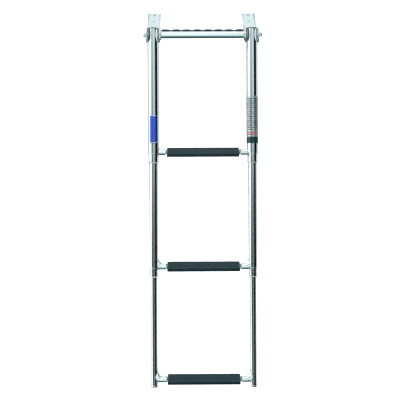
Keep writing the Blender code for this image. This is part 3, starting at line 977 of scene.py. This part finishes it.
class LADDER_OT_collars(bpy.types.Operator):
    """Polished collars with their nylon liners"""

    bl_idname = "ladder.collars"
    bl_label = "Collars"

    def execute(self, context):
        for section in SECTIONS[:2]:
            for side in SIDES:
                self.collar(section, side)
                self.liner(section, side)
        return {"FINISHED"}

    def collar(self, section, side):
        node = f"{section}_collar_{side}"
        facts = round_facts(node)
        low, high, outer, inner = facts["low"], facts["high"], facts["outer"], facts["inner"]
        shoulder = spread(f"{section}_tube_{side}")[0].z - GAP
        outline = [
            (outer, low, 1.6 * MM),
            (outer, shoulder - 1.0 * MM, 0.3 * MM),
            (outer - 0.5 * MM, shoulder - 0.7 * MM, 0.2 * MM),
            (outer - 0.5 * MM, shoulder + 1.5 * MM, 0.2 * MM),
            (outer, shoulder + 2.0 * MM, 0.2 * MM),
            (outer, high, 0.5 * MM),
            (inner, high, 0.1 * MM),
            (inner, low, 0.1 * MM),
        ]
        mesh = turned(soften(outline), at(facts["x"]))
        body = f"{section}_section"
        piece(f"{section}_guide_collar_{side}", mesh, tube_steel(), body, [node])

    def liner(self, section, side):
        node = f"{section}_liner_{side}"
        facts = round_facts(node)
        low, high, outer, inner = facts["low"], facts["high"], facts["outer"], facts["inner"]
        lip = low + 1.8 * MM
        neck = inner + 0.6 * MM
        outline = [
            (outer, low, 0.8 * MM),
            (outer, lip, 0.3 * MM),
            (neck, lip, 0.0),
            (neck, high, 0.1 * MM),
            (inner, high, 0.1 * MM),
            (inner, low, 0.3 * MM),
        ]
        mesh = turned(soften(outline), at(facts["x"]))
        body = f"{section}_section"
        piece(f"{section}_guide_liner_{side}", mesh, nylon_white(), body, [node])


class LADDER_OT_ends(bpy.types.Operator):
    """Caps in the tops of the upper tubes and feet under the lower tubes"""

    bl_idname = "ladder.ends"
    bl_label = "Caps and feet"

    def execute(self, context):
        for side in SIDES:
            self.cap(side)
            self.foot(side)
        return {"FINISHED"}

    def cap(self, side):
        node = f"upper_cap_{side}"
        facts = round_facts(node)
        top = facts["high"]
        tube = round_facts(f"upper_tube_{side}")
        rim = tube["high"] + GAP
        spigot = tube["inner"] - GAP
        profile = [(0, facts["low"]), (spigot, facts["low"]), (spigot, rim), (facts["outer"], rim)]
        shoulder = rim + 0.9 * MM
        for k in range(13):
            a = math.pi / 2 * k / 12
            radius = facts["outer"] * math.cos(a) ** 0.8 if k < 12 else 0.0
            profile.append((radius, shoulder + (top - shoulder) * math.sin(a)))
        mesh = turned(profile, at(facts["x"]), False)
        piece(f"tube_cap_{side}", mesh, cap_plastic(), "upper_section", [node], 50.0)

    def foot(self, side):
        node = f"foot_{side}"
        facts = round_facts(node)
        tube = round_facts(f"lower_tube_{side}")
        low, outer = facts["low"], facts["outer"]
        top = tube["low"] - GAP
        spigot = tube["inner"] - GAP
        outline = [
            (0, low, 0),
            (outer * 0.62, low + 0.2 * MM, 1.5 * MM),
            (outer, low + 2.8 * MM, 1.2 * MM),
            (outer, top, 0.5 * MM),
            (spigot, top, 0.0),
            (spigot, facts["high"], 0.8 * MM),
            (0, facts["high"], 0),
        ]
        mesh = turned(soften(outline, closed=False, steps=6), at(facts["x"]), False)
        piece(f"tube_foot_{side}", mesh, tube_steel(), "lower_section", [node], 50.0)


class LADDER_OT_labels(bpy.types.Operator):
    """Blank film labels round the upper tubes"""

    bl_idname = "ladder.labels"
    bl_label = "Labels"

    def execute(self, context):
        for side in SIDES:
            facts = round_facts(f"label_{side}", round_facts(f"upper_tube_{side}")["x"])
            low, high = facts["low"], facts["high"]
            if side == "left":
                material = Materials.get("blue", blue_label, low, high)
                mesh = self.patch(facts, *self.covered(side, facts))
            else:
                material = Materials.get("banded", banded_label, low, high, facts["x"])
                outer, inner = facts["outer"], facts["inner"]
                outline = [(outer, low), (outer, high), (inner, high), (inner, low)]
                mesh = turned(soften([(r, z, 0.05 * MM) for r, z in outline]), at(facts["x"]))
            piece(f"film_label_{side}", mesh, material, "upper_section", [f"label_{side}"])
        return {"FINISHED"}

    def covered(self, side, facts):
        """The part of the tube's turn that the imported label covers."""
        into = LADDER.inverted()
        points = [into @ v.co for v in frame["nodes"][f"label_{side}"].data.vertices]
        angles = [math.atan2(p.y, p.x - facts["x"]) for p in points]
        return min(angles), max(angles)

    def patch(self, facts, start, end):
        """A film with rounded corners over part of the tube's turn."""
        low, high, outer, inner = facts["low"], facts["high"], facts["outer"], facts["inner"]
        half = (high - low) / 2
        middle = (high + low) / 2
        corner = 3.0 * MM
        steps = 64
        sections = []
        width = (end - start) * outer
        for k in range(steps + 1):
            around = start + (end - start) * k / steps
            edge = min(k, steps - k) / steps * width
            inset = corner - math.sqrt(max(corner**2 - max(corner - edge, 0.0) ** 2, 0.0))
            reach = half - inset
            ring = []
            for radius, z in ((outer, -reach), (outer, reach), (inner, reach), (inner, -reach)):
                ring.append((radius * math.cos(around), radius * math.sin(around), middle + z))
            sections.append(ring)
        return skinned(sections, at(facts["x"]))


# ------------------------------------------------------------------ rungs, treads and welds


def rung_facts(section, sizes):
    """What the rung's skin is drawn from."""
    place, tread_size = tread_frame(section, sizes.tread_dip)
    centre = LADDER.inverted() @ place.translation
    tube = round_facts(f"{section}_tube_right")
    top = spread(f"{section}_rung")[1].z
    return {
        "drop": centre.z,
        "half": tube["x"],
        "tube": tube["outer"],
        "flare": top - centre.z - sizes.arm_radius,
        "tread": tread_size.x / 2,
    }


def rung_ring(x, facts, sizes, points=64):
    """One ring of the rung at a distance from the middle: flattened in the tread, round beside it."""
    reach = abs(x)
    flat = 1.0 - eased(reach, facts["tread"] + 0.3 * MM, facts["tread"] + 4.5 * MM)
    contact = facts["half"] - facts["tube"]
    flare = eased(reach, contact - 15 * MM, contact + 3 * MM) ** 2.2
    depth = sizes.arm_radius + (sizes.flat_depth / 2 - sizes.arm_radius) * flat
    height = sizes.arm_radius + (sizes.flat_height / 2 - sizes.arm_radius) * flat
    power = 2.0 + flat
    tilt = sizes.tread_dip * flat
    up, along = math.cos(tilt), math.sin(tilt)
    lift = facts["flare"] * 0.5 * flare
    height += lift
    limit = facts["tube"] - 0.4 * MM
    ring = []
    for k in range(points):
        a = 2 * math.pi * k / points
        c, s = math.cos(a), math.sin(a)
        y = depth * math.copysign(abs(c) ** (2 / power), c)
        z = height * math.copysign(abs(s) ** (2 / power), s)
        if flare > 0:
            taper = 1.0 - 0.45 * flare * max(s, 0.0) * min(facts["flare"] / (20 * MM), 1.0)
            y = max(-limit, min(limit, y * taper))
        ring.append((x, y * up - z * along, facts["drop"] + lift + y * along + z * up))
    return ring


def coped(ring, facts, gap=0.1 * MM):
    """The ring's points moved along X onto the side tube's wall."""
    sign = math.copysign(1.0, ring[0][0])
    wall = facts["tube"] + gap
    return [(sign * (facts["half"] - math.sqrt(max(wall**2 - y**2, 0.0))), y, z) for _, y, z in ring]


class LADDER_OT_rungs(bpy.types.Operator):
    """Rungs: round arms that flare onto the side tubes and flatten into the treads"""

    bl_idname = "ladder.rungs"
    bl_label = "Rungs"

    def execute(self, context):
        sizes = context.scene.ladder_sizes
        for section in SECTIONS:
            facts = rung_facts(section, sizes)
            contact = facts["half"] - facts["tube"]
            runs = [facts["tread"] * k / 6 for k in range(6)]
            start, end = facts["tread"], contact - 0.5 * MM
            runs += [start + (end - start) * k / 60 for k in range(61)]
            last = rung_ring(contact, facts, sizes)
            rings = [coped([(-x, y, z) for x, y, z in last], facts)]
            rings += [rung_ring(-x, facts, sizes) for x in reversed(runs[1:])]
            rings += [rung_ring(x, facts, sizes) for x in runs]
            rings += [coped(last, facts)]
            tips = [(sign * contact, 0.0, facts["drop"] + facts["flare"] * 0.3) for sign in (-1, 1)]
            mesh = skinned(rings, LADDER, tips)
            body = f"{section}_section"
            nodes = [f"{section}_rung"]
            piece(f"{section}_step_rung", mesh, tube_steel(), body, nodes, 60.0)
        return {"FINISHED"}


def rib_tree():
    """Straight ribs with rounded tops, side by side."""
    inputs = [("Length", "Float"), ("Count", "Int"), ("Pitch", "Float"), ("Width", "Float")]
    inputs += [("Height", "Float"), ("Material", "Material")]
    graph, given = new_tree("tread_ribs", inputs)
    half = given["Length"] * 0.5
    ends = [graph.node("ShaderNodeCombineXYZ", None, {0: half * sign}) for sign in (-1.0, 1.0)]
    line = graph.node("GeometryNodeCurvePrimitiveLine", None, {"Start": ends[0], "End": ends[1]})
    fine = graph.node("GeometryNodeResampleCurve", None, {"Curve": line, "Count": 3})
    oval = graph.node("GeometryNodeCurvePrimitiveCircle", None, {"Resolution": 20, "Radius": 1.0})
    squash = graph.node("ShaderNodeCombineXYZ", None, {0: given["Height"], 1: given["Width"] * 0.5, 2: 1.0})
    profile = graph.node("GeometryNodeTransform", None, {"Geometry": oval, "Scale": squash})
    sockets = {"Curve": fine, "Profile Curve": profile, "Fill Caps": True}
    rib = graph.node("GeometryNodeCurveToMesh", None, sockets)
    first = given["Pitch"] * (given["Count"] - 1.0) * -0.5
    start = graph.node("ShaderNodeCombineXYZ", None, {1: first})
    step = graph.node("ShaderNodeCombineXYZ", None, {1: given["Pitch"]})
    sockets = {"Count": given["Count"], "Start Location": start, "Offset": step}
    row = graph.node("GeometryNodeMeshLine", None, sockets)
    ribs = graph.node("GeometryNodeInstanceOnPoints", None, {"Points": row, "Instance": rib})
    return close_tree(graph, ribs, given["Material"])


class LADDER_OT_treads(bpy.types.Operator):
    """Black ribbed treads round the flattened rungs"""

    bl_idname = "ladder.treads"
    bl_label = "Treads"

    def execute(self, context):
        sizes = context.scene.ladder_sizes
        tree = rib_tree()
        for section in SECTIONS:
            place, size = tread_frame(section, sizes.tread_dip)
            body_mesh = self.body(size, sizes)
            ribs = self.ribs(tree, size, sizes)
            joined = bmesh.new()
            joined.from_mesh(body_mesh)
            joined.from_mesh(ribs)
            joined.transform(place)
            body = f"{section}_section"
            nodes = [f"{section}_tread"]
            piece(f"{section}_step_tread", joined, tread_plastic(), body, nodes, 40.0)
        return {"FINISHED"}

    def body(self, size, sizes):
        """The sleeve: rounded long edges, softly rounded ends, and a slot for the rung."""
        half_x, half_y, half_z = size / 2
        top = half_z - sizes.rib_height
        corners = [(-half_y, top, sizes.tread_edge), (half_y, top, sizes.tread_edge)]
        corners += [(half_y, -half_z, 2.0 * MM), (-half_y, -half_z, 2.0 * MM)]
        outline = soften(corners, steps=8)
        round_end = 1.6 * MM
        stations = []
        for k in range(7):
            a = math.pi / 2 * k / 6
            stations.append((half_x - round_end * (1 - math.sin(a)), round_end * (1 - math.cos(a))))
        rings = []
        middle = (top - half_z) / 2
        tall = (top + half_z) / 2
        for sign, order in ((-1, reversed(stations)), (1, stations)):
            for x, inset in order:
                in_y, in_z = 1 - inset / half_y, 1 - inset / tall
                rings.append([(sign * x, y * in_y, middle + (z - middle) * in_z) for y, z in outline])
        solid = mesh_of("tread_body", skinned(rings, Matrix()))
        spare = 0.6 * MM
        slot_y, slot_z = sizes.flat_depth / 2 + spare, sizes.flat_height / 2 + spare
        corner = slot_z / 2
        quarters = ((-1, 1), (1, 1), (1, -1), (-1, -1))
        slot = soften([(y * slot_y, z * slot_z, corner) for y, z in quarters], steps=6)
        return evaluated(solid, [("BOOLEAN", {"object": slab(slot, -half_x - MM, half_x + MM)})])

    def ribs(self, tree, size, sizes):
        """The ribs on the top face, sunk half their height into it."""
        run = size.y - 2 * sizes.tread_edge
        pitch = run / sizes.rib_count
        values = {
            "Length": size.x - 5.0 * MM,
            "Count": sizes.rib_count,
            "Pitch": pitch,
            "Width": pitch * 0.66,
            "Height": sizes.rib_height,
            "Material": tread_plastic(),
        }
        mesh = grown("ribs", tree, values)
        mesh.transform(Matrix.Translation((0, 0, size.z / 2 - sizes.rib_height)))
        return mesh


class LADDER_OT_tread_screws(bpy.types.Operator):
    """Pan-head screws under the treads"""

    bl_idname = "ladder.tread_screws"
    bl_label = "Tread screws"

    def execute(self, context):
        sizes = context.scene.ladder_sizes
        for section in SECTIONS:
            place, size = tread_frame(section, sizes.tread_dip)
            for side in SIDES:
                node = f"{section}_tread_screw_{side}"
                low, high = spread(node, place.inverted())
                centre = place @ Matrix.Translation(((low.x + high.x) / 2, 0, 0))
                self.screw(section, side, node, centre, low.z, high.z, (high.x - low.x) / 2)
        return {"FINISHED"}

    def screw(self, section, side, node, place, low, top, head):
        seat = low + 2.0 * MM
        drive = head * 0.42
        profile = [(0, low + 1.2 * MM), (drive * 0.8, low + 1.2 * MM), (drive, low + 0.15 * MM)]
        for k in range(7):
            a = math.pi / 2 * k / 6
            profile.append((head * (0.55 + 0.45 * math.sin(a)), low + 1.3 * MM * (1 - math.cos(a))))
        profile += [(head, seat), (2.0 * MM, seat), (2.0 * MM, top), (0, top)]

        def lobes(radius, height, angle):
            if radius > drive * 1.001 or height >= seat:
                return radius
            return radius * (1 + 0.16 * math.cos(6 * angle))

        mesh = turned(profile, place, False, 48, lobes)
        name = f"{section}_step_screw_{side}"
        piece(name, mesh, fastener_steel(), f"{section}_section", [node], 35.0)


def bead_tree():
    """Small overlapping weld ripples along the edges of the incoming mesh."""
    inputs = [("Radius", "Float"), ("Step", "Float"), ("Material", "Material")]
    graph, given = new_tree("weld_beads", inputs)
    path = graph.node("GeometryNodeMeshToCurve", None, {"Mesh": given["Geometry"]})
    sockets = {"Curve": path, "Length": given["Step"]}
    even = graph.node("GeometryNodeResampleCurve", {"mode": "LENGTH"}, sockets)
    ball = graph.node("GeometryNodeMeshUVSphere", None, {"Segments": 10, "Rings": 6, "Radius": 1.0})
    radius = given["Radius"]
    size = graph.node("ShaderNodeCombineXYZ", None, {0: radius, 1: radius, 2: radius * 0.8})
    tangent = graph.node("GeometryNodeInputTangent")
    turn = graph.node("FunctionNodeAlignRotationToVector", None, {"Vector": tangent})
    sockets = {"Points": even, "Instance": ball, "Rotation": turn, "Scale": size}
    ripples = graph.node("GeometryNodeInstanceOnPoints", None, sockets)
    return close_tree(graph, ripples, given["Material"])


class LADDER_OT_welds(bpy.types.Operator):
    """Weld beads where the rungs meet the side tubes"""

    bl_idname = "ladder.welds"
    bl_label = "Welds"

    def execute(self, context):
        sizes = context.scene.ladder_sizes
        tree = bead_tree()
        steel = Materials.get("weld", weld_steel)
        for section in SECTIONS:
            facts = rung_facts(section, sizes)
            contact = facts["half"] - facts["tube"]
            path = bmesh.new()
            for sign in (-1, 1):
                ring = coped(rung_ring(sign * contact, facts, sizes), facts, 0.2 * MM)
                verts = [path.verts.new(p) for p in ring]
                for k in range(len(verts)):
                    path.edges.new((verts[k], verts[(k + 1) % len(verts)]))
            lines = bpy.data.meshes.new("weld_path")
            path.to_mesh(lines)
            path.free()
            values = {"Radius": sizes.bead, "Step": sizes.bead * 0.7, "Material": steel}
            mesh = grown("beads", tree, values, lines)
            mesh.transform(LADDER)
            body = f"{section}_section"
            piece(f"{section}_step_welds", mesh, steel, body, [], 60.0)
        return {"FINISHED"}


class LADDER_OT_inner_parts(bpy.types.Operator):
    """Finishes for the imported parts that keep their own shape"""

    bl_idname = "ladder.inner_parts"
    bl_label = "Inner parts"

    def execute(self, context):
        for node in pair("pivot_bush") + pair("middle_stop") + pair("lower_stop"):
            mesh = frame["nodes"][node].data
            mesh.materials.clear()
            mesh.materials.append(nylon_white())
        return {"FINISHED"}


# ------------------------------------------------------------------ stage


def softbox(name, place, aim, power, width, height):
    light = bpy.data.lights.new(name, "AREA")
    light.shape = "RECTANGLE"
    light.size = width
    light.size_y = height
    light.energy = power
    made = bpy.data.objects.new(name, light)
    bpy.context.scene.collection.objects.link(made)
    start, end = LADDER @ Vector(place), LADDER @ Vector(aim)
    aimed = (start - end).to_track_quat("Z", "Y").to_matrix().to_4x4()
    made.matrix_world = Matrix.Translation(start) @ aimed
    return made


class Studio(Graph):
    """Surrounding light drawn by direction in the ladder's frame, in degrees of turn and rise.

    Turn 0 faces the ladder's front and grows to the right. Rise 0 is square to the side tubes.
    """

    def __init__(self, name):
        self.world = bpy.data.worlds.new(name)
        self.world.use_nodes = True
        self.world.cycles.sampling_method = "NONE"
        super().__init__(self.world.node_tree)
        source = self.node("ShaderNodeTexCoord", None, None, "Generated")
        way = self.node("ShaderNodeMapping", None, {"Vector": source, "Rotation": lean_turn()})
        to_degrees = 180.0 / math.pi
        self.turn = self.split(way, 0).math("ARCTAN2", self.split(way, 1) * -1.0) * to_degrees
        self.rise = self.split(way, 2).math("ARCSINE") * to_degrees
        self.up = self.split(source, 2)

    def ease(self, value, start, end):
        """0 at start and 1 at end, softly."""
        sockets = {"Value": value, "From Min": start, "From Max": end}
        return self.node("ShaderNodeMapRange", {"interpolation_type": "SMOOTHSTEP"}, sockets)

    def zone(self, left, right, low, high, soft=5.0):
        """1 inside a range of turn and rise, with soft edges."""
        return self.band(self.turn, left, right, soft) * self.band(self.rise, low, high, soft)

    def band(self, value, low, high, soft):
        return self.ease(value, low - soft, low + soft) * (1 - self.ease(value, high - soft, high + soft))

    def lay(self, mask, under, colour):
        """A zone's light over what is there already."""
        sockets = {"Factor": mask, 6: under, 7: colour}
        return self.node("ShaderNodeMix", {"data_type": "RGBA"}, sockets, 2)


def dim_end():
    """What the fronts of the tubes see: dark below eye level and paler above it, as (rise, light)."""
    stops = [
        (-90.0, (0.012, 0.014, 0.014)),
        (-78.0, (0.02, 0.03, 0.03)),
        (-66.0, (0.12, 0.30, 0.31)),
        (-52.0, (0.36, 0.60, 0.60)),
        (-38.0, (0.70, 0.92, 0.90)),
        (-14.0, (1.10, 1.15, 1.15)),
        (-9.0, (0.025, 0.04, 0.035)),
        (-2.5, (0.03, 0.045, 0.042)),
        (0.5, (0.060, 0.09, 0.092)),
        (3.5, (0.16, 0.24, 0.26)),
        (8.0, (0.38, 0.56, 0.64)),
        (13.0, (1.15, 1.2, 1.2)),
        (60.0, (1.05, 1.1, 1.12)),
    ]
    return [((rise + 90.0) / 150.0, (*light, 1.0)) for rise, light in stops]


class LADDER_OT_stage(bpy.types.Operator):
    """Pale floor, soft studio light and the camera"""

    bl_idname = "ladder.stage"
    bl_label = "Stage"

    def execute(self, context):
        stage = context.scene.ladder_stage
        self.floor(stage)
        self.surroundings(context.scene, stage)
        self.camera(context.scene, stage)
        context.scene.view_settings.view_transform = "Standard"
        return {"FINISHED"}

    def floor(self, stage):
        mesh = bpy.data.meshes.new("floor")
        size, depth = 14.0, -stage.floor_depth
        corners = [(-size, -size, depth), (size, -size, depth), (size, size, depth), (-size, size, depth)]
        mesh.from_pydata(corners, [], [(0, 1, 2, 3)])
        mesh.materials.append(floor_material())
        floor = bpy.data.objects.new("floor", mesh)
        bpy.context.scene.collection.objects.link(floor)
        floor.visible_diffuse = False
        floor.visible_glossy = False

    def surroundings(self, scene, stage):
        studio = Studio("studio")
        span = (studio.rise + 90.0) / 150.0
        fronts = studio.node("ShaderNodeValToRGB", {"stops": dim_end()}, {"Fac": span})
        behind = studio.ease(abs(studio.turn), 100.0, 130.0) * studio.ease(studio.rise, 22.0, 40.0)
        light = (0.30, 0.36, 0.39, 1.0)
        layers = [
            (studio.zone(-106, -38, -60, 70), (1.5, 1.5, 1.5, 1.0)),  # left softbox
            (studio.zone(92, 128, -50, 60), (0.80, 0.88, 0.90, 1.0)),  # pale wall on the right
            (studio.ease(studio.rise, -30.0, -62.0), (0.05, 0.065, 0.065, 1.0)),  # dark below
            (studio.zone(-43, 36, -100, 75, 4.0), fronts),
            (studio.zone(-60, -40, -9, 1, 3.0), (0.05, 0.075, 0.075, 1.0)),  # widens the dim front
            (studio.zone(-2.6, 2.6, -12, 12, 1.2), (1.1, 1.15, 1.15, 1.0)),  # what the grab tube sees
            (studio.zone(8, 30, 3, 40, 3.0) * 0.7, (0.9, 0.98, 1.0, 1.0)),  # thin pale strip
            (studio.zone(34, 90, -100, 35, 4.0), (0.004, 0.005, 0.005, 1.0)),  # black flag
            (behind, (0.92, 1.04, 1.06, 1.0)),
            (studio.ease(studio.rise, 68.0, 80.0), (1.0, 1.06, 1.08, 1.0)),  # overhead
        ]
        for mask, shade in layers:
            light = studio.lay(mask, light, shade)
        soft = studio.ease(studio.up, 0.6, 0.95) * 5.2
        rays = studio.node("ShaderNodeLightPath", None, None, "Is Diffuse Ray")
        soft_white = studio.node("ShaderNodeCombineXYZ", None, {0: soft, 1: soft, 2: soft})
        light = studio.lay(rays, light, soft_white)
        seen = studio.node("ShaderNodeLightPath", None, None, "Is Camera Ray")
        light = studio.lay(seen, light, (1.0, 1.0, 1.0, 1.0))
        sky = studio.tree.nodes["Background"]
        studio.feed(sky.inputs["Color"], light)
        sky.inputs["Strength"].default_value = stage.sky
        scene.world = studio.world
        key = softbox("overhead_softbox", (-0.8, 1.4, 2.2), (0.0, 0.0, -0.4), stage.key_power, 1.6, 1.6)
        key.visible_glossy = False

    def camera(self, scene, stage):
        data = bpy.data.cameras.new("camera")
        data.sensor_width = 36.0
        data.lens = stage.lens
        data.clip_end = 100.0
        camera = bpy.data.objects.new("camera", data)
        scene.collection.objects.link(camera)
        turn = Matrix.Rotation(stage.yaw, 4, "Z") @ Matrix.Rotation(stage.pitch, 4, "X")
        turn = turn @ Matrix.Rotation(stage.roll, 4, "Y") @ Matrix.Rotation(math.pi / 2, 4, "X")
        camera.matrix_world = at(stage.offset, -stage.distance, -stage.drop) @ turn
        scene.camera = camera


# ------------------------------------------------------------------ add-on


OPERATORS = (
    LADDER_OT_brackets,
    LADDER_OT_hinge,
    LADDER_OT_grab_tube,
    LADDER_OT_grip,
    LADDER_OT_side_tubes,
    LADDER_OT_collars,
    LADDER_OT_ends,
    LADDER_OT_labels,
    LADDER_OT_rungs,
    LADDER_OT_treads,
    LADDER_OT_tread_screws,
    LADDER_OT_welds,
    LADDER_OT_inner_parts,
    LADDER_OT_stage,
)


class LADDER_PT_panel(bpy.types.Panel):
    """Lists the ladder's operators, sizes and colours"""

    bl_idname = "LADDER_PT_panel"
    bl_label = "Boarding Ladder"
    bl_space_type = "VIEW_3D"
    bl_region_type = "UI"
    bl_category = "Ladder"

    def draw(self, context):
        for operator in OPERATORS:
            self.layout.operator(operator.bl_idname)
        for group in (context.scene.ladder_sizes, context.scene.ladder_colours, context.scene.ladder_stage):
            box = self.layout.box()
            for name in group.__annotations__:
                box.prop(group, name)


CLASSES = (LadderSizes, LadderColours, LadderStage, *OPERATORS, LADDER_PT_panel)


def register():
    for cls in CLASSES:
        bpy.utils.register_class(cls)
    bpy.types.Scene.ladder_sizes = bpy.props.PointerProperty(type=LadderSizes)
    bpy.types.Scene.ladder_colours = bpy.props.PointerProperty(type=LadderColours)
    bpy.types.Scene.ladder_stage = bpy.props.PointerProperty(type=LadderStage)


def unregister():
    del bpy.types.Scene.ladder_sizes
    del bpy.types.Scene.ladder_colours
    del bpy.types.Scene.ladder_stage
    for cls in reversed(CLASSES):
        bpy.utils.unregister_class(cls)


def main():
    register()
    for operator in OPERATORS:
        getattr(bpy.ops.ladder, operator.bl_idname.split(".")[1])()


if __name__ == "__main__":
    main()
